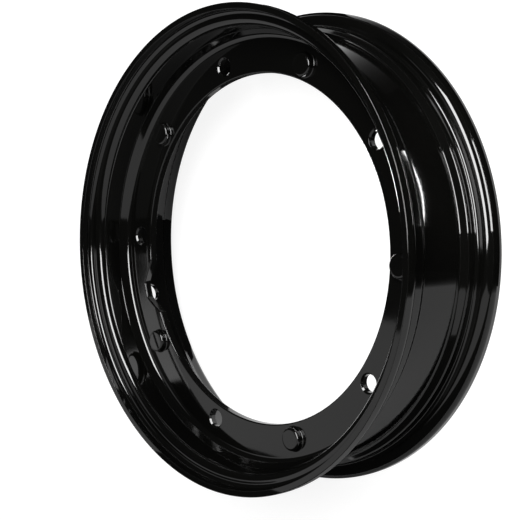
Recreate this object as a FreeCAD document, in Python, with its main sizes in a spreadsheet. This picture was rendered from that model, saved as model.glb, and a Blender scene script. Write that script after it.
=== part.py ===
import FreeCAD, Part
import math
import os

import Sketcher

# One cast scooter wheel rim, 10 x 2.10 inch, in millimetres.
# The axle line is Z, the rear lip stands on z = 0 and the valve hole points along +X.
SIZES = [
    ("bead_r", 126.6, "radius of the tyre bead seat"),
    ("flange_h", 8.4, "height of the flange above the bead seat"),
    ("flange_gap", 53.3, "distance between the two flanges"),
    ("lip_w", 9.75, "width of each rolled lip beyond its flange"),
    ("lip_bend_r", 6.0, "outside radius of the rolled lip"),
    ("lip_wall", 3.6, "wall of the lip"),
    ("lip_inside_r", 3.0, "rounding inside the lip"),
    ("lip_inner_edge_r", 0.3, "rounding of the inner edge of the front lip's end"),
    ("rear_lip_bevel", 2.8, "bevel inside the rear lip's end"),
    ("lip_edge_r", 0.5, "rounding of the outer edge of the lip's end"),
    ("flange_wall", 3.0, "wall of the flange"),
    ("wall", 3.6, "wall of the barrel"),
    ("bead_taper", 0.5, "fall of the bead seat towards the well"),
    ("bead_corner_r", 2.2, "rounding between bead seat and flange"),
    ("shoulder_r", 5.0, "rounding inside the bead corner"),
    ("well_drop", 3.7, "depth of the well below the bead seat"),
    ("rear_seat_w", 5.9, "width of the rear bead seat"),
    ("rear_slope_w", 3.5, "width of the rear slope into the well"),
    ("front_seat_w", 11.9, "width of the front bead seat"),
    ("front_slope_w", 4.5, "width of the front slope into the well"),
    ("slope_r", 3.0, "rounding of the slope corners"),
    ("web_depth", 27.4, "depth of the web's front face below the front lip"),
    ("web_wall", 4.9, "thickness of the web"),
    ("web_root_r", 4.0, "rounding between web and barrel"),
    ("web_reach", 20.75, "reach of the web from the barrel in to the hub opening"),
    ("edge_r", 0.8, "rounding of the hub opening's edges"),
    ("stud_reach", 11.8, "distance of the stud holes and bosses in from the barrel"),
    ("stud_r", 4.8, "radius of a stud hole"),
    ("stud_bevel", 0.9, "bevel of a stud hole"),
    ("boss_r", 6.6, "radius of a boss"),
    ("boss_high", 3.7, "height of a boss"),
    ("boss_round_r", 1.5, "rounding of a boss's top edge"),
    ("boss_root_r", 0.8, "rounding at a boss's foot"),
    ("notch_mouth", 29.0, "width of the valve notch at the hub opening"),
    ("notch_floor", 9.3, "width of the valve notch at its floor"),
    ("notch_deep", 8.5, "depth of the valve notch"),
    ("notch_corner_r", 3.0, "rounding of the valve notch's corners"),
    ("valve_r", 5.6, "radius of the valve hole"),
    ("valve_drop", 8.4, "distance of the valve hole behind the web's rear face"),
    ("valve_bevel", 0.6, "bevel of the valve hole"),
]
COUNT = 5
STUD_TURN = 54.0
BOSS_TURN = 18.0

doc = FreeCAD.newDocument("wheel_rim")
sheet = doc.addObject("Spreadsheet::Sheet", "Sizes")
for row, (name, value, note) in enumerate(SIZES, start=1):
    sheet.set("A%d" % row, name)
    sheet.set("B%d" % row, str(value))
    sheet.set("C%d" % row, note)
    sheet.setAlias("B%d" % row, name)
doc.recompute()


def text(total):
    """The expression for a sum of sizes, each name looked up in the sheet."""
    return " ".join(word if word in ("+", "-") else "Sizes." + word for word in total.split())


def number(total):
    """The same sum as a number, for first places and for finding edges."""
    value, minus = 0.0, False
    for word in total.split():
        if word in ("+", "-"):
            minus = word == "-"
            continue
        size = float(getattr(sheet, word))
        value = value - size if minus else value + size
    return value


ZERO = ""
BEAD = "bead_r"
OUTER = "bead_r + flange_h"
LIP_IN = "bead_r + flange_h - lip_wall"
SEAT_END = "bead_r - bead_taper"
WELL = "bead_r - well_drop"
BARREL_IN = "bead_r - wall"
SEAT_IN = "bead_r - bead_taper - wall"
WELL_IN = "bead_r - well_drop - wall"
HUB = "bead_r - well_drop - wall - web_reach"
STUD_CIRCLE = "bead_r - well_drop - wall - stud_reach"
Z_LIP = "lip_w"
Z_WIDTH = "lip_w + flange_gap + lip_w"
Z_FLANGE = "lip_w + flange_gap"
Z_REAR_SEAT = "lip_w + rear_seat_w"
Z_REAR_WELL = "lip_w + rear_seat_w + rear_slope_w"
Z_FRONT_SEAT = "lip_w + flange_gap - front_seat_w"
Z_FRONT_WELL = "lip_w + flange_gap - front_seat_w - front_slope_w"
Z_REAR_FLAT = "lip_w - flange_wall"
Z_FRONT_FLAT = "lip_w + flange_gap + flange_wall"
Z_WEB = "lip_w + flange_gap + lip_w - web_depth"
Z_WEB_REAR = "lip_w + flange_gap + lip_w - web_depth - web_wall"
Z_VALVE = "lip_w + flange_gap + lip_w - web_depth - web_wall - valve_drop"

# Corners of the rim's section as radius and height, once around from the rear lip.
SECTION = [
    ("rear_lip_out", OUTER, ZERO),
    ("rear_bend", OUTER, Z_LIP),
    ("rear_bead", BEAD, Z_LIP),
    ("rear_seat_end", SEAT_END, Z_REAR_SEAT),
    ("rear_well", WELL, Z_REAR_WELL),
    ("front_well", WELL, Z_FRONT_WELL),
    ("front_seat_end", SEAT_END, Z_FRONT_SEAT),
    ("front_bead", BEAD, Z_FLANGE),
    ("front_bend", OUTER, Z_FLANGE),
    ("front_lip_out", OUTER, Z_WIDTH),
    ("front_lip_in", LIP_IN, Z_WIDTH),
    ("front_flat_out", LIP_IN, Z_FRONT_FLAT),
    ("front_shoulder", BARREL_IN, Z_FRONT_FLAT),
    ("front_slope_in", SEAT_IN, Z_FRONT_SEAT),
    ("web_front_root", WELL_IN, Z_WEB),
    ("web_front_edge", HUB, Z_WEB),
    ("web_rear_edge", HUB, Z_WEB_REAR),
    ("web_rear_root", WELL_IN, Z_WEB_REAR),
    ("rear_well_in", WELL_IN, Z_REAR_WELL),
    ("rear_slope_in", SEAT_IN, Z_REAR_SEAT),
    ("rear_shoulder", BARREL_IN, Z_REAR_FLAT),
    ("rear_flat_out", LIP_IN, Z_REAR_FLAT),
    ("rear_lip_in", LIP_IN, ZERO),
]
CORNER = {name: (number(r), number(z)) for name, r, z in SECTION}

body = doc.addObject("PartDesign::Body", "wheel_rim")
body.Label = "wheel_rim"
ORIGIN = {item.Role: item for item in body.Origin.OriginFeatures}


def new_sketch(name, plane, height=ZERO):
    """A sketch on one of the body's planes, lifted by a sum of sizes."""
    sketch = body.newObject("Sketcher::SketchObject", name)
    sketch.AttachmentSupport = [(ORIGIN[plane], "")]
    sketch.MapMode = "FlatFace"
    if height:
        sketch.setExpression("AttachmentOffset.Base.z", text(height))
    return sketch


def bind(sketch, constraint, name, expression):
    """Add a constraint with a size, name it and bind it to the sheet."""
    index = sketch.addConstraint(constraint)
    sketch.renameConstraint(index, name)
    sketch.setExpression("Constraints." + name, expression)


def outline(sketch, places):
    """Closed lines through the places, joined at their ends."""
    points = [FreeCAD.Vector(x, y, 0) for x, y in places]
    lines = list(range(len(points)))
    for point, following in zip(points, points[1:] + points[:1]):
        sketch.addGeometry(Part.LineSegment(point, following), False)
    for line, following in zip(lines, lines[1:] + lines[:1]):
        sketch.addConstraint(Sketcher.Constraint("Coincident", line, 2, following, 1))


def circle(sketch, place, radius_name, x_text, y_text):
    """One circle held by the expressions of its centre and by a size for its radius."""
    radius = float(getattr(sheet, radius_name))
    centre = FreeCAD.Vector(place[0], place[1], 0)
    sketch.addGeometry(Part.Circle(centre, FreeCAD.Vector(0, 0, 1), radius), False)
    bind(sketch, Sketcher.Constraint("Radius", 0, radius), "round", "Sizes." + radius_name)
    for axis, kind, value, line in (("x", "DistanceX", place[0], -2), ("y", "DistanceY", place[1], -1)):
        formula = x_text if axis == "x" else y_text
        if formula is None:
            sketch.addConstraint(Sketcher.Constraint("PointOnObject", 0, 3, line))
        else:
            bind(sketch, Sketcher.Constraint(kind, -1, 1, 0, 3, value), "centre_" + axis, formula)


def rings(shape, names):
    """The edges of a shape that are whole rings at the named corners of the section."""
    found = []
    for name in names:
        radius, height = CORNER[name]
        for i, edge in enumerate(shape.Edges, start=1):
            curve = edge.Curve
            if not hasattr(curve, "Radius") or abs(curve.Radius - radius) > 1e-4:
                continue
            if abs(curve.Center.z - height) < 1e-4 and math.hypot(curve.Center.x, curve.Center.y) < 1e-4:
                found.append("Edge%d" % i)
    return found


def dress(kind, name, base, edges, size_property, size_name):
    """A fillet or chamfer on some edges of a feature, its size bound to the sheet."""
    if not edges:
        raise RuntimeError(name + " found no edges")
    feature = body.newObject("PartDesign::" + kind, name)
    feature.Base = (base, edges)
    feature.setExpression(size_property, "Sizes." + size_name)
    doc.recompute()
    return feature


# The rim's ring: one section, turned once about the axle line, then its corners rounded.
section = new_sketch("RimSection", "XZ_Plane")
outline(section, [CORNER[name] for name, r, z in SECTION])
for index, (name, r, z) in enumerate(SECTION):
    radius, height = CORNER[name]
    bind(section, Sketcher.Constraint("DistanceX", -1, 1, index, 1, radius), name + "_r", text(r))
    if z:
        bind(section, Sketcher.Constraint("DistanceY", -1, 1, index, 1, height), name + "_z", text(z))
    else:
        section.addConstraint(Sketcher.Constraint("PointOnObject", index, 1, -1))
doc.recompute()

ring = body.newObject("PartDesign::Revolution", "RimRing")
ring.Profile = section
ring.ReferenceAxis = (section, ["V_Axis"])
ring.Angle = 360.0
doc.recompute()

ROUNDINGS = [
    ("LipBend", "lip_bend_r", ["rear_bend", "front_bend"]),
    ("BeadCorner", "bead_corner_r", ["rear_bead", "front_bead"]),
    ("Shoulder", "shoulder_r", ["rear_shoulder", "front_shoulder"]),
    ("LipInside", "lip_inside_r", ["rear_flat_out", "front_flat_out"]),
    ("WellCorner", "slope_r", ["rear_seat_end", "rear_well", "front_well", "front_seat_end"]),
    ("BarrelCorner", "slope_r", ["front_slope_in", "rear_well_in", "rear_slope_in"]),
    ("WebRoot", "web_root_r", ["web_front_root", "web_rear_root"]),
    ("LipEdge", "lip_edge_r", ["rear_lip_out", "front_lip_out"]),
    ("LipInnerEdge", "lip_inner_edge_r", ["front_lip_in"]),
]
last = ring
for name, size_name, corners in ROUNDINGS:
    last = dress("Fillet", name, last, rings(last.Shape, corners), "Radius", size_name)
last = dress("Chamfer", "RearLipBevel", last, rings(last.Shape, ["rear_lip_in"]), "Size", "rear_lip_bevel")

# The bosses on the web's front face.
boss_sketch = new_sketch("BossSketch", "XY_Plane", Z_WEB)
turn = math.radians(BOSS_TURN)
reach = number(STUD_CIRCLE)
circle(
    boss_sketch,
    (reach * math.cos(turn), reach * math.sin(turn)),
    "boss_r",
    "(%s) * cos(%g deg)" % (text(STUD_CIRCLE), BOSS_TURN),
    "(%s) * sin(%g deg)" % (text(STUD_CIRCLE), BOSS_TURN),
)
boss = body.newObject("PartDesign::Pad", "Boss")
boss.Profile = boss_sketch
boss.setExpression("Length", "Sizes.boss_high")
doc.recompute()


def around(name, feature):
    """The feature repeated evenly about the axle line."""
    pattern = body.newObject("PartDesign::PolarPattern", name)
    pattern.Originals = [feature]
    pattern.Axis = (ORIGIN["Z_Axis"], [""])
    pattern.Angle = 360.0
    pattern.Occurrences = COUNT
    body.Tip = pattern
    doc.recompute()
    return pattern


def circles_at(shape, radius, height, reach):
    """The circular edges of one radius whose centres lie at one height and distance from the axle line."""
    found = []
    for i, edge in enumerate(shape.Edges, start=1):
        curve = edge.Curve
        if not isinstance(curve, Part.Circle) or abs(curve.Radius - radius) > 1e-4:
            continue
        if abs(curve.Center.z - height) > 1e-4:
            continue
        if abs(math.hypot(curve.Center.x, curve.Center.y) - reach) < 1e-3:
            found.append("Edge%d" % i)
    return found


bosses = around("Bosses", boss)
boss_top = number(Z_WEB) + float(sheet.boss_high)
tops = circles_at(bosses.Shape, float(sheet.boss_r), boss_top, reach)
boss_tops = dress("Fillet", "BossTop", bosses, tops, "Radius", "boss_round_r")
feet = circles_at(boss_tops.Shape, float(sheet.boss_r), number(Z_WEB), reach)
boss_feet = dress("Fillet", "BossFoot", boss_tops, feet, "Radius", "boss_root_r")

# The stud holes, midway between the bosses.
stud_sketch = new_sketch("StudSketch", "XY_Plane", Z_WEB)
turn = math.radians(STUD_TURN)
circle(
    stud_sketch,
    (reach * math.cos(turn), reach * math.sin(turn)),
    "stud_r",
    "(%s) * cos(%g deg)" % (text(STUD_CIRCLE), STUD_TURN),
    "(%s) * sin(%g deg)" % (text(STUD_CIRCLE), STUD_TURN),
)
stud = body.newObject("PartDesign::Pocket", "StudHole")
stud.Profile = stud_sketch
stud.Type = "ThroughAll"
doc.recompute()
studs = around("StudHoles", stud)
mouths = []
for height in (number(Z_WEB), number(Z_WEB_REAR)):
    mouths += circles_at(studs.Shape, float(sheet.stud_r), height, reach)
stud_bevels = dress("Chamfer", "StudBevel", studs, mouths, "Size", "stud_bevel")

# The notch in the web's inner edge, beside the valve, its sides leaning out towards the opening.
notch_sketch = new_sketch("NotchSketch", "XY_Plane", Z_WEB)
floor_half = float(sheet.notch_floor) / 2.0
inner_half = float(sheet.notch_mouth) - floor_half
floor_x = number(HUB) + float(sheet.notch_deep)
inner_x = number(HUB) - float(sheet.notch_deep)
outline(
    notch_sketch,
    [(inner_x, inner_half), (floor_x, floor_half), (floor_x, -floor_half), (inner_x, -inner_half)],
)
for upper, lower in ((0, 3), (1, 2)):
    notch_sketch.addConstraint(Sketcher.Constraint("Symmetric", upper, 1, lower, 1, -1))
NOTCH_PINS = [
    (0, "inner", inner_x, inner_half, text(HUB + " - notch_deep"),
     "Sizes.notch_mouth - Sizes.notch_floor / 2"),
    (1, "floor", floor_x, floor_half, text(HUB + " + notch_deep"), "Sizes.notch_floor / 2"),
]
for index, name, x, y, x_text, y_text in NOTCH_PINS:
    bind(notch_sketch, Sketcher.Constraint("DistanceX", -1, 1, index, 1, x), name + "_x", x_text)
    bind(notch_sketch, Sketcher.Constraint("DistanceY", -1, 1, index, 1, y), name + "_y", y_text)
notch = body.newObject("PartDesign::Pocket", "ValveNotch")
notch.Profile = notch_sketch
notch.Type = "ThroughAll"
doc.recompute()


def notch_corners(shape):
    """The notch's corner edges: straight along Z, on either side of the X axis, within the barrel."""
    found = []
    for i, edge in enumerate(shape.Edges, start=1):
        box = edge.BoundBox
        if box.XLength > 1e-5 or box.YLength > 1e-5 or box.Center.x < 0:
            continue
        if floor_half / 2 < abs(box.Center.y) < inner_half and box.Center.x < number(WELL_IN):
            found.append("Edge%d" % i)
    return found


notch_round = dress(
    "Fillet", "NotchCorner", notch, notch_corners(notch.Shape), "Radius", "notch_corner_r"
)


def opening_edges(shape):
    """The edges of the hub opening on both of the web's faces."""
    found = []
    for height in (number(Z_WEB), number(Z_WEB_REAR)):
        faces = [
            face for face in shape.Faces
            if face.BoundBox.ZLength < 1e-5 and abs(face.BoundBox.ZMin - height) < 1e-5
        ]
        face = max(faces, key=lambda item: item.Area)
        wire = sorted(face.Wires, key=lambda item: item.Length)[-2]
        for i, edge in enumerate(shape.Edges, start=1):
            if any(edge.isSame(other) for other in wire.Edges):
                found.append("Edge%d" % i)
    return found


opening = dress("Fillet", "OpeningEdge", notch_round, opening_edges(notch_round.Shape), "Radius", "edge_r")

# The valve hole, drilled from outside through the floor of the well.
valve_sketch = new_sketch("ValveSketch", "YZ_Plane")
circle(valve_sketch, (0.0, number(Z_VALVE)), "valve_r", None, text(Z_VALVE))
valve = body.newObject("PartDesign::Pocket", "ValveHole")
valve.Profile = valve_sketch
valve.Type = "ThroughAll"
valve.Reversed = True
doc.recompute()


def valve_mouth(shape):
    """The edges where the valve hole comes out on the floor of the well."""
    found = []
    radius = float(sheet.valve_r)
    middle = (number(WELL) + number(WELL_IN)) / 2
    for i, edge in enumerate(shape.Edges, start=1):
        box = edge.BoundBox
        round_hole = abs(box.Center.y) < radius and abs(box.Center.z - number(Z_VALVE)) < radius
        if round_hole and radius < box.ZLength < 3 * radius and box.XMin > middle:
            found.append("Edge%d" % i)
    return found


valve_bevel = dress("Chamfer", "ValveBevel", valve, valve_mouth(valve.Shape), "Size", "valve_bevel")
body.Tip = valve_bevel
doc.recompute()

# Each cut must have taken something away and each added piece must have added something.
STEPS = [
    (bosses, last, 1),
    (boss_feet, boss_tops, 1),
    (studs, boss_feet, -1),
    (notch, stud_bevels, -1),
    (valve, opening, -1),
]
for after, before, sign in STEPS:
    if sign * (after.Shape.Volume - before.Shape.Volume) < 1.0:
        raise RuntimeError(after.Name + " changed nothing")

for item in doc.Objects:
    if "Invalid" in item.State or "Error" in item.State:
        raise RuntimeError("%s is not in order: %s" % (item.Name, item.State))
shape = body.Shape
if shape.isNull() or not shape.isValid() or len(shape.Solids) != 1:
    raise RuntimeError("the rim is not one valid solid")

os.makedirs("parts", exist_ok=True)
shape.exportStep("parts/%s.step" % body.Label)
print("volume %.1f mm3" % shape.Volume)
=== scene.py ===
"""A scooter wheel rim in gloss black paint, lying on its rear lip on a pale floor."""

import bpy
import numpy as np
from mathutils import Matrix


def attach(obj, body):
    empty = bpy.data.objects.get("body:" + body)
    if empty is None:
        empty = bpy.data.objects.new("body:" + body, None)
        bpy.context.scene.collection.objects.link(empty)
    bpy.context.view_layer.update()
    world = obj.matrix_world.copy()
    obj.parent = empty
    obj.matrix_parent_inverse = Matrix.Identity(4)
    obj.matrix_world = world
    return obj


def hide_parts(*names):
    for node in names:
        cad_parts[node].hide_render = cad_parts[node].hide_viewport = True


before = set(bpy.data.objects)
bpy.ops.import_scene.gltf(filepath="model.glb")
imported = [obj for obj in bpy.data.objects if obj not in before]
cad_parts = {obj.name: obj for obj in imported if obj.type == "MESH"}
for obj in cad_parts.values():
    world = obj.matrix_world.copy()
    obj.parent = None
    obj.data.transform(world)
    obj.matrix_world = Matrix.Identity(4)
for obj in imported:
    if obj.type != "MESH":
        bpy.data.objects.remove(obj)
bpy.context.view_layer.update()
MM = 0.001

# Sizes of the solid, in millimetres.
BEAD_R = 126.6
FLANGE_HIGH = 8.4
OUTER_R = BEAD_R + FLANGE_HIGH
FLANGE_GAP = 53.3
LIP_W = 9.75
LIP_THICK = 3.6
LIP_BEND_R = 6.0
LIP_IN_R = OUTER_R - LIP_THICK
LIP_INSIDE_R = 3.0
LIP_EDGE_R = 0.5
LIP_INNER_EDGE_R = 0.3
REAR_LIP_BEVEL = 2.8
REAR_BEVEL_SOFT_R = 0.45
FLANGE_WALL = 3.0
WALL = 3.6
SEAT_FALL = 0.5
SEAT_END_R = BEAD_R - SEAT_FALL
BEAD_CORNER_R = 2.2
SHOULDER_R = 5.0
WELL_DEEP = 3.7
WELL_R = BEAD_R - WELL_DEEP
SLOPE_R = 3.0
FRONT_SEAT_W = 11.9
FRONT_SLOPE_W = 4.5
REAR_SEAT_W = 5.9
REAR_SLOPE_W = 3.5
WIDTH = 2 * LIP_W + FLANGE_GAP
WEB_DEEP = 27.4
WEB_Z = WIDTH - WEB_DEEP
WEB_THICK = 4.9
WEB_REAR_Z = WEB_Z - WEB_THICK
WEB_ROOT_R = 4.0
HUB_R = 98.55
EDGE_R = 0.8
STUD_CIRCLE_R = 107.5
STUD_R = 4.8
STUD_BEVEL = 0.9
STUD_SOFT_R = 0.3
BOSS_R = 6.6
BOSS_HIGH = 3.7
BOSS_ROUND_R = 1.5
BOSS_ROOT_R = 0.8
NOTCH_MOUTH = 29.0
NOTCH_FLOOR = 9.3
NOTCH_DEEP = 8.5
NOTCH_CORNER_R = 3.0
VALVE_R = 5.6
VALVE_Z = 32.1
VALVE_BEVEL = 0.6

# Angles round the axle line: fine beside the valve notch, coarser elsewhere, and on every sector's edge.
SECTORS = 10
SECTOR = np.radians(360 / SECTORS)
NOTCH_TURN = np.radians(12.0)
NEAR_COUNT = 61
FAR_COUNT = 337
NEAR = np.linspace(-NOTCH_TURN, NOTCH_TURN, NEAR_COUNT)
FAR = np.linspace(NOTCH_TURN, 2 * np.pi - NOTCH_TURN, FAR_COUNT)
TURNS = np.concatenate([NEAR, FAR[1:-1]])

# How finely the surfaces are stepped: millimetres between rows, steps or rows in a rounding, and the digits
# to which places are welded.
ROW_STEP = 2.6
WELL_ROW_STEP = 2.0
NOTCH_STEPS = 24
EDGE_COUNT = 6
STUD_STEPS = 3
BOSS_STEPS = 6
WELD_DIGITS = 4

# How far a line goes on past its last corner, so that this corner can be rounded.
LEDGE = 2.0


def ways_of(turns):
    """Ways of length one in a plane, at the given angles: their cosine and sine."""
    return np.stack([np.cos(turns), np.sin(turns)], -1)


def round_corners(points, radii, steps):
    """An open line with its corners rounded. At a corner with unit arms a and b and half angle h, the arc
    of radius r has its centre at r / sin(h) along a + b and runs between the points r / tan(h) along the
    arms. Returns places and normals, the normal on the left of the way along the line."""
    places, normals = [], []
    for i, (corner, radius) in enumerate(zip(points, radii)):
        corner = np.asarray(corner, float)
        if radius == 0:
            ahead = np.asarray(points[min(i + 1, len(points) - 1)]) - np.asarray(points[max(i - 1, 0)])
            ahead = ahead / np.linalg.norm(ahead)
            places.append(corner[None])
            normals.append(np.array([[-ahead[1], ahead[0]]]))
            continue
        a = np.asarray(points[i - 1]) - corner
        b = np.asarray(points[i + 1]) - corner
        a = a / np.linalg.norm(a)
        b = b / np.linalg.norm(b)
        half = 0.5 * np.arccos(np.clip(a @ b, -1, 1))
        centre = corner + (a + b) / np.linalg.norm(a + b) * radius / np.sin(half)
        start = corner + a * radius / np.tan(half) - centre
        end = corner + b * radius / np.tan(half) - centre
        t0 = np.arctan2(start[1], start[0])
        sweep = (np.arctan2(end[1], end[0]) - t0 + np.pi) % (2 * np.pi) - np.pi
        t = t0 + sweep * np.linspace(0, 1, steps + 1)
        out = ways_of(t)
        places.append(centre + radius * out)
        normals.append(out if sweep < 0 else -out)
    return np.concatenate(places), np.concatenate(normals)


class Skin:
    """Grids of places and normals, gathered and then welded into one mesh."""

    def __init__(self):
        self.places, self.normals, self.quads, self.count = [], [], [], 0

    def grid(self, places, normals, closed=False, keep=None):
        """Add a grid of rows by columns, its columns closed in a ring or not. keep is a mask of cells."""
        rows, columns = places.shape[:2]
        steps = columns if closed else columns - 1
        i, j = np.meshgrid(np.arange(rows - 1), np.arange(steps), indexing="ij")
        k = (j + 1) % columns
        this_row, next_row = i * columns, (i + 1) * columns
        cells = np.stack([this_row + j, this_row + k, next_row + k, next_row + j], -1)
        cells = cells.reshape(-1, 4) if keep is None else cells[keep]
        self.places.append(places.reshape(-1, 3))
        self.normals.append(normals.reshape(-1, 3))
        self.quads.append(cells + self.count)
        self.count += rows * columns

    def welded(self):
        """Used places that agree to a ten-thousandth of a millimetre become one, and every face is turned
        to its normals. A cell whose first two places are one, at a boss's centre, becomes a triangle."""
        cells = np.concatenate(self.quads)
        used, cells = np.unique(cells, return_inverse=True)
        cells = cells.reshape(-1, 4)
        places, normals = np.concatenate(self.places)[used], np.concatenate(self.normals)[used]
        key, first, index = np.unique(
            np.round(places, WELD_DIGITS), axis=0, return_index=True, return_inverse=True)
        summed = np.zeros_like(key)
        np.add.at(summed, index.reshape(-1), normals)
        summed /= np.linalg.norm(summed, axis=1, keepdims=True)
        places = places[first]
        cells = index.reshape(-1)[cells]
        diagonals = places[cells[:, 2:]] - places[cells[:, :2]]
        across = np.cross(diagonals[:, 0], diagonals[:, 1])
        wrong = (across * summed[cells].sum(1)).sum(1) < 0
        pinched = cells[:, 0] == cells[:, 1]
        cells[wrong] = cells[wrong][:, [1, 0, 3, 2]]
        return places, summed, cells[~pinched].tolist() + cells[pinched][:, 1:].tolist()


def turned(profile, normals, turns):
    """A section of radius and height carried round the axle line: (r cos t, r sin t, z) on a grid of section
    by turn."""
    c, s = np.cos(turns), np.sin(turns)
    r, z = profile[:, :1], profile[:, 1:]
    nr, nz = normals[:, :1], normals[:, 1:]
    flat = np.ones_like(turns)
    return np.stack([r * c, r * s, z * flat], -1), np.stack([nr * c, nr * s, nz * flat], -1)


# The rim's section from the web's front face, over both lips, to the web's rear face.
Z_FRONT = LIP_W + FLANGE_GAP
Z_FRONT_SEAT = Z_FRONT - FRONT_SEAT_W
Z_FRONT_WELL = Z_FRONT_SEAT - FRONT_SLOPE_W
Z_REAR_SEAT = LIP_W + REAR_SEAT_W
Z_REAR_WELL = Z_REAR_SEAT + REAR_SLOPE_W
SECTION = [
    (HUB_R, WEB_Z, 0),
    (WELL_R - WALL, WEB_Z, WEB_ROOT_R),
    (SEAT_END_R - WALL, Z_FRONT_SEAT, SLOPE_R),
    (BEAD_R - WALL, Z_FRONT + FLANGE_WALL, SHOULDER_R),
    (LIP_IN_R, Z_FRONT + FLANGE_WALL, LIP_INSIDE_R),
    (LIP_IN_R, WIDTH, LIP_INNER_EDGE_R),
    (OUTER_R, WIDTH, LIP_EDGE_R),
    (OUTER_R, Z_FRONT, LIP_BEND_R),
    (BEAD_R, Z_FRONT, BEAD_CORNER_R),
    (SEAT_END_R, Z_FRONT_SEAT, SLOPE_R),
    (WELL_R, Z_FRONT_WELL, SLOPE_R),
    (WELL_R, Z_REAR_WELL, SLOPE_R),
    (SEAT_END_R, Z_REAR_SEAT, SLOPE_R),
    (BEAD_R, LIP_W, BEAD_CORNER_R),
    (OUTER_R, LIP_W, LIP_BEND_R),
    (OUTER_R, 0, LIP_EDGE_R),
    (LIP_IN_R + REAR_LIP_BEVEL, 0, REAR_BEVEL_SOFT_R),
    (LIP_IN_R, REAR_LIP_BEVEL, REAR_BEVEL_SOFT_R),
    (LIP_IN_R, LIP_W - FLANGE_WALL, LIP_INSIDE_R),
    (BEAD_R - WALL, LIP_W - FLANGE_WALL, SHOULDER_R),
    (SEAT_END_R - WALL, Z_REAR_SEAT, SLOPE_R),
    (WELL_R - WALL, Z_REAR_WELL, SLOPE_R),
    (WELL_R - WALL, WEB_REAR_Z, WEB_ROOT_R),
    (HUB_R, WEB_REAR_Z, 0),
]
# Steps in a rounding of the section, by its radius. The lips' inside has the radius of the slopes.
ROUND_STEPS = {
    LIP_INNER_EDGE_R: 2,
    REAR_BEVEL_SOFT_R: 3,
    LIP_EDGE_R: 3,
    BEAD_CORNER_R: 5,
    SLOPE_R: 4,
    WEB_ROOT_R: 7,
    SHOULDER_R: 7,
    LIP_BEND_R: 8,
}


def section_rows(section, longest, well_longest):
    """The rounded section, with rows added on its straight stretches so that no step is longer than the
    given length, or the other one on the floor of the well, where the valve hole's two ends need the same
    number of rows."""
    corners = [corner[:2] for corner in section]
    places, normals = [], []
    for i in range(1, len(section) - 1):
        near = corners[i - 1:i + 2]
        radius = section[i][2]
        bend, out = round_corners(near, [0, radius, 0], ROUND_STEPS[radius])
        if places:
            gap = bend[1] - places[-1][-1]
            on_well = section[i - 1][0] == WELL_R and section[i][0] == WELL_R
            step = well_longest if on_well else longest
            parts = max(1, int(np.ceil(np.linalg.norm(gap) / step)))
            share = np.arange(1, parts)[:, None] / parts
            places.append(places[-1][-1] + share * gap)
            normals.append(np.repeat(normals[-1][-1:], parts - 1, axis=0))
        places.append(bend[1:-1])
        normals.append(out[1:-1])
    return np.concatenate(places), np.concatenate(normals)


ROWS, ROW_NORMALS = section_rows(SECTION, ROW_STEP, WELL_ROW_STEP)
skin = Skin()


def index_of(turn):
    """The place in TURNS of an angle that is one of them."""
    return int(np.argmin(np.abs((TURNS - turn + np.pi) % (2 * np.pi) - np.pi)))


# The hub opening with its valve notch: a circle, and near +X a line through the notch's corners, rounded.
NOTCH_X = HUB_R + NOTCH_DEEP
LEAN = (NOTCH_MOUTH - NOTCH_FLOOR) / 2 / NOTCH_DEEP
side_start = NOTCH_FLOOR / 2 + LEAN * NOTCH_X
meet_x = (LEAN * side_start + np.sqrt((LEAN ** 2 + 1) * HUB_R ** 2 - side_start ** 2)) / (LEAN ** 2 + 1)
meet = np.array([meet_x, side_start - LEAN * meet_x])
beyond = meet + LEDGE * np.array([-meet[1], meet[0]]) / HUB_R
flip = np.array([1.0, -1.0])
floor_end = np.array([NOTCH_X, NOTCH_FLOOR / 2])
notch_line = [beyond * flip, meet * flip, floor_end * flip, floor_end, meet, beyond]
notch_radii = [0, NOTCH_CORNER_R, NOTCH_CORNER_R, NOTCH_CORNER_R, NOTCH_CORNER_R, 0]
notch, notch_out = round_corners(notch_line, notch_radii, NOTCH_STEPS)
notch_turn = np.arctan2(notch[:, 1], notch[:, 0])
signed = (TURNS + np.pi) % (2 * np.pi) - np.pi
in_notch = np.abs(signed) < notch_turn[-2]
loop_r = np.where(in_notch, np.interp(signed, notch_turn, np.hypot(*notch.T)), HUB_R)
loop = loop_r[:, None] * ways_of(TURNS)
loop_out = -ways_of(TURNS)
for axis in (0, 1):
    loop_out[in_notch, axis] = np.interp(signed[in_notch], notch_turn, notch_out[:, axis])
loop_out /= np.linalg.norm(loop_out, axis=1, keepdims=True)

# The opening's edge: a rounded edge, the wall and a rounded edge again, carried round the opening.
bend = np.linspace(0, np.pi / 2, EDGE_COUNT)
edge_shift = np.concatenate([EDGE_R * (np.sin(bend) - 1), EDGE_R * (np.sin(bend[::-1]) - 1)])
edge_fall = EDGE_R * (1 - np.cos(bend))
edge_z = np.concatenate([WEB_Z - edge_fall, WEB_REAR_Z + edge_fall[::-1]])
edge_side = np.concatenate([np.sin(bend), np.sin(bend[::-1])])
edge_up = np.concatenate([np.cos(bend), -np.cos(bend[::-1])])
flat = np.ones(len(TURNS))
edge_plan = loop + edge_shift[:, None, None] * loop_out
edge_places = np.concatenate([edge_plan, edge_z[:, None, None] * flat[:, None]], -1)
edge_sides = edge_side[:, None, None] * loop_out
edge_normals = np.concatenate([edge_sides, edge_up[:, None, None] * flat[:, None]], -1)
skin.grid(edge_places, edge_normals, closed=True)
opening = edge_places[0, :, :2]

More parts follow.
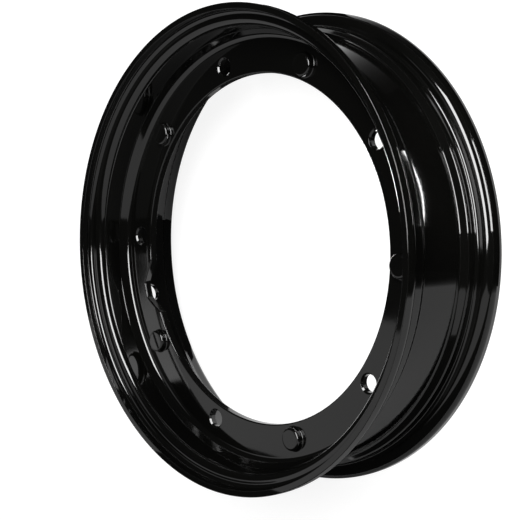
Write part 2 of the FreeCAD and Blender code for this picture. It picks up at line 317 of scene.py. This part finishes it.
# The web's two flat faces: a strip outside the notch's floor, and ten sectors, each round one stud hole or
# one boss.
SIDE_SHARES = np.linspace(0, 1, 9)
FLAT_SHARES = np.array([0, 0.05, 0.2, 0.45, 0.72, 1.0])
stud_line = [
    (STUD_R + STUD_BEVEL + LEDGE, WEB_REAR_Z),
    (STUD_R + STUD_BEVEL, WEB_REAR_Z),
    (STUD_R, WEB_REAR_Z + STUD_BEVEL),
    (STUD_R, WEB_Z - STUD_BEVEL),
    (STUD_R + STUD_BEVEL, WEB_Z),
    (STUD_R + STUD_BEVEL + LEDGE, WEB_Z),
]
stud_rows, stud_out = round_corners(stud_line, [0] + [STUD_SOFT_R] * 4 + [0], STUD_STEPS)
boss_top = WEB_Z + BOSS_HIGH
boss_line = [(0.0, boss_top), (BOSS_R, boss_top), (BOSS_R, WEB_Z), (BOSS_R + LEDGE, WEB_Z)]
boss_rows, boss_out = round_corners(boss_line, [0, BOSS_ROUND_R, BOSS_ROOT_R, 0], BOSS_STEPS)


def round_piece(centre, ways, rows, out):
    """A section of distance and height carried round an upright line through the centre: centre + distance *
    way, at that height."""
    flat = np.ones(len(ways))[:, None]
    places = np.concatenate([centre + rows[:, :1, None] * ways, rows[:, 1:, None] * flat], -1)
    normals = np.concatenate([out[:, :1, None] * ways, out[:, 1:, None] * flat], -1)
    skin.grid(places, normals, closed=True)


def flat_grid(inner, outer, shares, height, up, closed):
    """A flat grid from one line to another: inner + share * (outer - inner), at one height."""
    plane = inner + shares[:, None, None] * (outer - inner)
    places = np.concatenate([plane, np.full(plane.shape[:2] + (1,), height)], -1)
    normals = np.broadcast_to([0.0, 0.0, up], places.shape)
    skin.grid(places, normals, closed=closed)


def span_of(start, stop):
    """The places in TURNS from one angle on to another."""
    first, last = index_of(start), index_of(stop)
    return np.arange(first, last + 1 if last > first else last + len(TURNS) + 1) % len(TURNS)


FACES = ((WEB_Z, 1.0, ROWS[0, 0]), (WEB_REAR_Z, -1.0, ROWS[-1, 0]))
STRIP_TURN = np.radians(3.2)
for height, up, root in FACES:
    span = span_of(-STRIP_TURN, STRIP_TURN)
    flat_grid(opening[span], root * ways_of(TURNS[span]), SIDE_SHARES, height, up, False)
for number in range(SECTORS):
    start = STRIP_TURN if number == 0 else number * SECTOR
    stop = -STRIP_TURN if number == SECTORS - 1 else (number + 1) * SECTOR
    span = span_of(start, stop)
    middle = (number + 0.5) * SECTOR
    centre = STUD_CIRCLE_R * ways_of(middle)
    has_boss = number % 2 == 0
    ways = None
    for height, up, root in FACES:
        barrel = root * ways_of(TURNS[span])
        hub = opening[span]
        if has_boss and up < 0:
            flat_grid(hub, barrel, SIDE_SHARES, height, up, False)
            continue
        left = hub[0] + SIDE_SHARES[:, None] * (barrel[0] - hub[0])
        right = barrel[-1] + SIDE_SHARES[:, None] * (hub[-1] - barrel[-1])
        outline = np.concatenate([left[:-1], barrel[:-1], right[:-1], hub[::-1][:-1]])
        if ways is None:
            ways = (outline - centre) / np.linalg.norm(outline - centre, axis=1, keepdims=True)
        reach = boss_rows[-2, 0] if has_boss else stud_rows[1, 0]
        flat_grid(centre + reach * ways, outline, FLAT_SHARES, height, up, True)
    if has_boss:
        round_piece(centre, ways, boss_rows[:-1], boss_out[:-1])
    else:
        round_piece(centre, ways, stud_rows[1:-1], stud_out[1:-1])

# The valve hole: a window is left in the barrel's outer and inner skin, and each is filled round the hole. A
# window clears the hole by its margin, and a side's rows are those near its radius.
WINDOW_TURN = np.radians(4.0)
WINDOW_COLUMNS = np.arange(index_of(-WINDOW_TURN), index_of(WINDOW_TURN) + 1)
WINDOW_SHARES = np.array([0, 0.06, 0.3, 0.6, 1.0])
WINDOW_MARGIN = 0.4
SAME_SIDE = 1.6


def window_rows(side_r):
    """First and last row of the skin near the given radius that clear the valve hole."""
    near = np.abs(ROWS[:, 0] - side_r) < SAME_SIDE
    clear = VALVE_R + VALVE_BEVEL + WINDOW_MARGIN
    above = np.flatnonzero(near & (ROWS[:, 1] > VALVE_Z + clear))
    below = np.flatnonzero(near & (ROWS[:, 1] < VALVE_Z - clear))
    up_row = above[np.argmin(ROWS[above, 1])]
    low_row = below[np.argmax(ROWS[below, 1])]
    return min(up_row, low_row), max(up_row, low_row)


def window(side_r, hole_r, ways):
    """The skin between a window's border and a round hole in it: hole + share * (border - hole), seen along
    the hole, then laid on the barrel by its radius at that height. Returns the window's rows, the ways from
    the hole's middle to the border, and the hole's edge."""
    low, high = window_rows(side_r)
    rows = np.arange(low, high + 1)
    rows = rows[np.argsort(ROWS[rows, 1])]
    heights, radii, outs = ROWS[rows, 1], ROWS[rows, 0], ROW_NORMALS[rows]
    turns = TURNS[WINDOW_COLUMNS]
    across, upright = len(turns) - 1, len(rows) - 1
    row_list = np.concatenate(
        [np.full(across, rows[0]), rows[:-1], np.full(across, rows[-1]), rows[::-1][:-1]])
    turn_list = np.concatenate(
        [turns[:-1], np.full(upright, turns[-1]), turns[::-1][:-1], np.full(upright, turns[0])])
    border = np.stack([ROWS[row_list, 0] * np.sin(turn_list), ROWS[row_list, 1]], 1)
    middle = np.array([0.0, VALVE_Z])
    if ways is None:
        ways = (border - middle) / np.linalg.norm(border - middle, axis=1, keepdims=True)
    hole = middle + hole_r * ways
    plan = hole + WINDOW_SHARES[:, None, None] * (border - hole)
    side, height = plan[..., 0], plan[..., 1]
    radius = np.interp(height, heights, radii)
    out_r = np.interp(height, heights, outs[:, 0])
    out_z = np.interp(height, heights, outs[:, 1])
    reach = np.sqrt(radius ** 2 - side ** 2)
    places = np.stack([reach, side, height], -1)
    skin.grid(places, np.stack([out_r * reach / radius, out_r * side / radius, out_z], -1), closed=True)
    return low, high, ways, places[0]


keep = np.ones((len(ROWS) - 1, len(TURNS)), bool)
hole_ways = None
hole_edges = []
for side_r, hole_r in ((WELL_R, VALVE_R + VALVE_BEVEL), (WELL_R - WALL, VALVE_R)):
    low, high, hole_ways, hole_edge = window(side_r, hole_r, hole_ways)
    keep[low:high, WINDOW_COLUMNS[0]:WINDOW_COLUMNS[-1]] = False
    hole_edges.append(hole_edge)
outer_edge, inner_edge = hole_edges

# The valve hole's wall: a bevel from its outer edge, then straight through to its inner edge.
BEVEL_SHARES = np.array([0, 0.15, 0.85, 1.0])
WALL_SHARES = np.array([0, 0.06, 0.94, 1.0])
outward = np.array([1.0, 0.0, 0.0])
inward = np.concatenate([np.zeros((len(hole_ways), 1)), -hole_ways], 1)
bevel_end = outer_edge + VALVE_BEVEL * (inward - outward)
bevel_out = (inward + outward) / np.sqrt(2)
bevel_rows = outer_edge + BEVEL_SHARES[:, None, None] * (bevel_end - outer_edge)
skin.grid(bevel_rows, np.broadcast_to(bevel_out, bevel_rows.shape), closed=True)
wall_rows = bevel_end + WALL_SHARES[:, None, None] * (inner_edge - bevel_end)
skin.grid(wall_rows, np.broadcast_to(inward, wall_rows.shape), closed=True)

ring_places, ring_normals = turned(ROWS, ROW_NORMALS, TURNS)
skin.grid(ring_places, ring_normals, closed=True, keep=keep)
places, normals, faces = skin.welded()
mesh = bpy.data.meshes.new("wheel_rim_skin")
mesh.from_pydata(places * MM, [], faces)
mesh.shade_smooth()
mesh.normals_split_custom_set_from_vertices(normals)
rim = bpy.data.objects.new("wheel_rim_skin", mesh)
bpy.context.scene.collection.objects.link(rim)
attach(rim, "root")
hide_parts("wheel_rim")


def colour(text):
    """A colour written as sRGB hex, as the linear numbers that the shaders take: c / 12.92 where dark and
    ((c + 0.055) / 1.055) ^ 2.4 elsewhere."""
    parts = np.array([int(text[i:i + 2], 16) / 255 for i in (1, 3, 5)])
    linear = np.where(parts <= 0.04045, parts / 12.92, ((parts + 0.055) / 1.055) ** 2.4)
    return (*linear, 1.0)


def add_node(tree, kind, settings=None, inputs=None):
    """One node: settings are its own properties, and inputs are values for its sockets or links to them."""
    made = tree.nodes.new(kind)
    for name, value in (settings or {}).items():
        setattr(made, name, value)
    for name, value in (inputs or {}).items():
        if isinstance(value, bpy.types.NodeSocket):
            tree.links.new(value, made.inputs[name])
        else:
            made.inputs[name].default_value = value
    return made


def new_material(name):
    """An empty node material and its output node."""
    material = bpy.data.materials.new(name)
    material.use_nodes = True
    material.node_tree.nodes.clear()
    return material, add_node(material.node_tree, "ShaderNodeOutputMaterial")


# Gloss black paint baked on cast aluminium: a hard mirror-like skin over black, so the eye reads the rim by
# what it mirrors, with the faint waves of sprayed paint and a slightly uneven gloss.
PAINT_DEEP = "#030303"
PAINT_THIN = "#070706"
PAINT_IOR = 1.55
PAINT_SMOOTH = 0.045
PAINT_ROUGH = 0.08
WAVE_HIGH_MM = 0.003
# Size in millimetres and detail of the paint's waves, of the clouds in its gloss, and of its flow, which
# makes it deeper in some places than in others.
PAINT_NOISE = ((2.2, 1.0), (28.0, 2.0), (60.0, 1.0))
# Noise seldom leaves the span between these.
NOISE_LOW = 0.3
NOISE_HIGH = 0.7
# The Mix node's sockets for colours, by number because others have the same names.
MIX_A = 6
MIX_B = 7
MIX_RESULT = 2
paint, paint_out = new_material("gloss_black_paint")
tree = paint.node_tree
place = add_node(tree, "ShaderNodeTexCoord").outputs["Object"]
waves, clouds, flow = (
    add_node(tree, "ShaderNodeTexNoise", None, {
        "Vector": place, "Scale": 1 / (size * MM), "Detail": detail}).outputs["Fac"]
    for size, detail in PAINT_NOISE)
depth = add_node(tree, "ShaderNodeMix", {"data_type": "RGBA"}, {
    "Factor": flow, MIX_A: colour(PAINT_DEEP), MIX_B: colour(PAINT_THIN)})
skin_bump = add_node(tree, "ShaderNodeBump", None, {
    "Strength": 1.0, "Distance": WAVE_HIGH_MM * MM, "Height": waves})
gloss = add_node(tree, "ShaderNodeMapRange", None, {
    "Value": clouds,
    "From Min": NOISE_LOW,
    "From Max": NOISE_HIGH,
    "To Min": PAINT_SMOOTH,
    "To Max": PAINT_ROUGH,
})
coat = add_node(tree, "ShaderNodeBsdfPrincipled", None, {
    "Base Color": depth.outputs[MIX_RESULT],
    "Metallic": 0.0,
    "IOR": PAINT_IOR,
    "Roughness": gloss.outputs["Result"],
    "Normal": skin_bump.outputs["Normal"],
})
tree.links.new(coat.outputs["BSDF"], paint_out.inputs["Surface"])
mesh.materials.append(paint)

# White studio floor: matt board that takes the rim's soft shadow and is white to the eye and in the paint.
FLOOR_SIZE = 40.0
FLOOR_GLOW = 0.88
FLOOR_MATT = "#8a8a8a"
WHITE = "#ffffff"
board, board_out = new_material("white_floor_board")
tree = board.node_tree
ray = add_node(tree, "ShaderNodeLightPath").outputs
seen = ray["Is Camera Ray"]
for other in ("Is Glossy Ray", "Is Transmission Ray"):
    seen = add_node(tree, "ShaderNodeMath", {"operation": "MAXIMUM"}, {0: seen, 1: ray[other]}).outputs[0]
glow = add_node(tree, "ShaderNodeMath", {"operation": "MULTIPLY"}, {0: seen, 1: FLOOR_GLOW}).outputs[0]
matt = add_node(tree, "ShaderNodeBsdfDiffuse", None, {"Color": colour(FLOOR_MATT)})
lit = add_node(tree, "ShaderNodeEmission", None, {"Color": colour(WHITE), "Strength": glow})
both = add_node(tree, "ShaderNodeAddShader", None, {0: matt.outputs[0], 1: lit.outputs[0]})
tree.links.new(both.outputs[0], board_out.inputs["Surface"])


def flat_sheet(name, corners, material):
    """A flat sheet of the studio, its corners in metres, in turn round its edge."""
    sheet = bpy.data.meshes.new(name)
    sheet.from_pydata(corners, [], [tuple(range(len(corners)))])
    sheet.materials.append(material)
    made = bpy.data.objects.new(name, sheet)
    bpy.context.scene.collection.objects.link(made)
    return made


half = FLOOR_SIZE / 2
flat_sheet("floor", [(-half, -half, 0), (half, -half, 0), (half, half, 0), (-half, half, 0)], board)

# The photograph's own right and up lie in the wheel's plane, and its front is +Z.
PHOTO_TURN = np.radians(161.0)
PHOTO_RIGHT = np.array([np.cos(PHOTO_TURN), np.sin(PHOTO_TURN), 0.0])
PHOTO_UP = np.array([-np.sin(PHOTO_TURN), np.cos(PHOTO_TURN), 0.0])
PHOTO_FRONT = np.array([0.0, 0.0, 1.0])
RIM_MIDDLE = np.array([0.0, 0.0, WIDTH / 2 * MM])


def in_photo(right, up, front):
    """A way or place given along the photograph's right, up and front."""
    return right * PHOTO_RIGHT + up * PHOTO_UP + front * PHOTO_FRONT


def soft_panel(name, middle, facing, across, width, height, radiance):
    """An even rectangular lamp, not seen by the camera. Its power is pi * area * radiance."""
    z = -facing / np.linalg.norm(facing)
    x = across - (across @ z) * z
    x /= np.linalg.norm(x)
    y = np.cross(z, x)
    lamp = bpy.data.lights.new(name, "AREA")
    lamp.shape = "RECTANGLE"
    lamp.size = width
    lamp.size_y = height
    lamp.energy = np.pi * width * height * radiance
    made = bpy.data.objects.new(name, lamp)
    turn = np.eye(4)
    turn[:3, :3] = np.stack([x, y, z], 1)
    turn[:3, 3] = middle
    made.matrix_world = Matrix(turn.tolist())
    made.visible_camera = False
    bpy.context.scene.collection.objects.link(made)


def way_to(lon, lat):
    """The way out to a place in the studio, by its angle round to the right of the front and its height."""
    lon, lat = np.radians([lon, lat])
    return in_photo(np.sin(lon) * np.cos(lat), np.sin(lat), np.cos(lon) * np.cos(lat))


# The studio as the paint in the photograph mirrors it, in metres: a tall softbox leaning over from the front
# right, a dim fill above the middle, the white table below, a low softbox beside the rim at the right, and
# two lamps on the floor, a thin strip beside the rim and a softbox inside it.
KEY_FAR = 1.5
KEY_LEAN = np.radians(18.0)
FILL_FAR = 1.6
key_way = way_to(lon=28, lat=27)
key_across = np.cross(PHOTO_UP, key_way)
key_up = np.cross(key_way, key_across)
key_across = np.cos(KEY_LEAN) * key_across + np.sin(KEY_LEAN) * key_up
soft_panel(
    "key_softbox", RIM_MIDDLE + KEY_FAR * key_way, facing=-key_way, across=key_across,
    width=0.54, height=1.45, radiance=17.0)
fill_way = way_to(lon=0, lat=20)
soft_panel(
    "fill_board", RIM_MIDDLE + FILL_FAR * fill_way, facing=-fill_way, across=PHOTO_RIGHT,
    width=1.5, height=0.5, radiance=0.45)
soft_panel(
    "white_table", in_photo(0, -0.14, 0.3725), facing=PHOTO_UP, across=PHOTO_RIGHT,
    width=1.2, height=0.515, radiance=0.6)
soft_panel(
    "side_softbox", in_photo(0.3, 0.155, 0.033), facing=-PHOTO_RIGHT, across=PHOTO_FRONT,
    width=0.058, height=0.21, radiance=15.0)
soft_panel(
    "side_strip", in_photo(0.144, 0.0626, 0.003), facing=PHOTO_FRONT, across=in_photo(-0.4, 0.917, 0),
    width=0.064, height=0.001, radiance=26.0)
soft_panel(
    "under_softbox", in_photo(0.03, 0.042, 0.004), facing=PHOTO_FRONT, across=in_photo(0.87, 0.5, 0),
    width=0.13, height=0.035, radiance=13.0)

# Sheets just above the floor that only the paint's mirror sees, their greys painted reflections: painted
# shade, black beside the rim above the table's level and dark under the rim, and painted light, grey below
# that level and pale near its top and inside its rear wall at the left.
SHADE_SHEET_Z = 0.002
REFLECTION_SHEET_Z = 0.003
ARC_COUNT = 32


def arc(radius, start, end):
    """Places in metres along an arc round the axle: radius times the cosine and sine of its turn, which is
    counted in degrees from the photograph's right."""
    return radius * ways_of(np.radians(np.linspace(start, end, ARC_COUNT)))


def ring_part(inner, outer, start, end):
    """The corners of a part of a ring: an arc out and an arc back."""
    return np.concatenate([arc(inner, start, end), arc(outer, end, start)])


def mirror_sheet(name, reflection_material_name, grey, plan, height):
    """A flat matt sheet near the floor, its corners along the photograph's right and up, seen only in the
    paint's mirror, so that its grey is a painted reflection. Returns its node tree and its matt node."""
    sheet_look, sheet_look_out = new_material(reflection_material_name)
    # The sheet's grey is a painted reflection: painted shade where dark, painted light where pale.
    reflected_grey = add_node(sheet_look.node_tree, "ShaderNodeBsdfDiffuse", None, {"Color": colour(grey)})
    sheet_look.node_tree.links.new(reflected_grey.outputs["BSDF"], sheet_look_out.inputs["Surface"])
    made = flat_sheet(name, [in_photo(right, up, height) for right, up in plan], sheet_look)
    made.visible_camera = False
    made.visible_diffuse = False
    made.visible_transmission = False
    made.visible_shadow = False
    return sheet_look.node_tree, reflected_grey


def painted_falloff(sheet, pale_place, dark, dark_place):
    """A painted fall-off of light across a sheet: it goes from its own grey at one place to a darker one at
    another, both given along the photograph's right and up, by the same factor at each step: e to the power
    of a value that goes evenly from one logarithm to the other."""
    tree, reflected_grey = sheet
    first, last = in_photo(*dark_place, 0), in_photo(*pale_place, 0)
    along = (last - first) / ((last - first) @ (last - first))
    place = add_node(tree, "ShaderNodeTexCoord").outputs["Object"]
    share = add_node(tree, "ShaderNodeVectorMath", {"operation": "DOT_PRODUCT"}, {0: place, 1: along})
    power = add_node(tree, "ShaderNodeMapRange", None, {
        "Value": share.outputs["Value"],
        "From Min": first @ along,
        "From Max": last @ along,
        "To Min": np.log(colour(dark)[0]),
        "To Max": np.log(reflected_grey.inputs["Color"].default_value[0]),
    })
    grey = add_node(tree, "ShaderNodeMath", {"operation": "EXPONENT"}, {0: power.outputs["Result"]})
    tree.links.new(grey.outputs[0], reflected_grey.inputs["Color"])


# Painted reflections: the black and dark sheets are painted shade in the paint's mirror, the grey and pale
# ones painted light, two of them with a painted fall-off of light along them.
mirror_sheet("side_shade_sheet", "black_painted_shade", "#050505", ring_part(0.13, 0.9, -3.3, 108.0), SHADE_SHEET_Z)
side_reflection_sheet = mirror_sheet(
    "side_reflection_sheet", "grey_painted_reflection", "#9c9c9c", ring_part(0.13, 0.9, -110.0, -1.5), REFLECTION_SHEET_Z)
painted_falloff(side_reflection_sheet, pale_place=(0.1489, -0.0158), dark="#121212", dark_place=(0.1509, -0.0096))
mirror_sheet("under_shade_sheet", "dark_painted_shade", "#2a2a2a", arc(0.128, -10.0, 215.0), SHADE_SHEET_Z)
top_reflection_sheet = mirror_sheet(
    "top_reflection_sheet", "pale_painted_reflection", "#cecece", ring_part(0.13, 0.148, 55.0, 82.0), REFLECTION_SHEET_Z)
painted_falloff(top_reflection_sheet, pale_place=(0.0253, 0.1367), dark="#151515", dark_place=(0.0757, 0.1166))
mirror_sheet("wall_reflection_sheet", "light_painted_reflection", "#b8b8b8", ring_part(0.084, 0.127, 142.0, 177.8), REFLECTION_SHEET_Z)

WORLD_GLOW = 0.02
world = bpy.data.worlds.new("dim_studio")
world.use_nodes = True
sky = world.node_tree.nodes["Background"].inputs
sky["Color"].default_value = colour(WHITE)
sky["Strength"].default_value = WORLD_GLOW
bpy.context.scene.world = world

# The camera that fits the photograph's outline: its right, up and back, and its place in metres.
CAMERA_RIGHT = (-0.65195156, 0.1843543, -0.73550843)
CAMERA_UP = (-0.22772085, -0.97282086, -0.04198557)
CAMERA_BACK = (-0.72325816, 0.14011805, 0.6762134)
CAMERA_PLACE = (-0.544673, 0.111677, 0.554961)
view = np.eye(4)
view[:3] = np.stack([CAMERA_RIGHT, CAMERA_UP, CAMERA_BACK, CAMERA_PLACE], 1)
lens = bpy.data.cameras.new("camera")
lens.sensor_width = 36.0
lens.lens = 92.785
camera = bpy.data.objects.new("camera", lens)
camera.matrix_world = Matrix(view.tolist())
bpy.context.scene.collection.objects.link(camera)
bpy.context.scene.camera = camera
bpy.context.scene.view_settings.view_transform = "Standard"

bpy.context.view_layer.update()
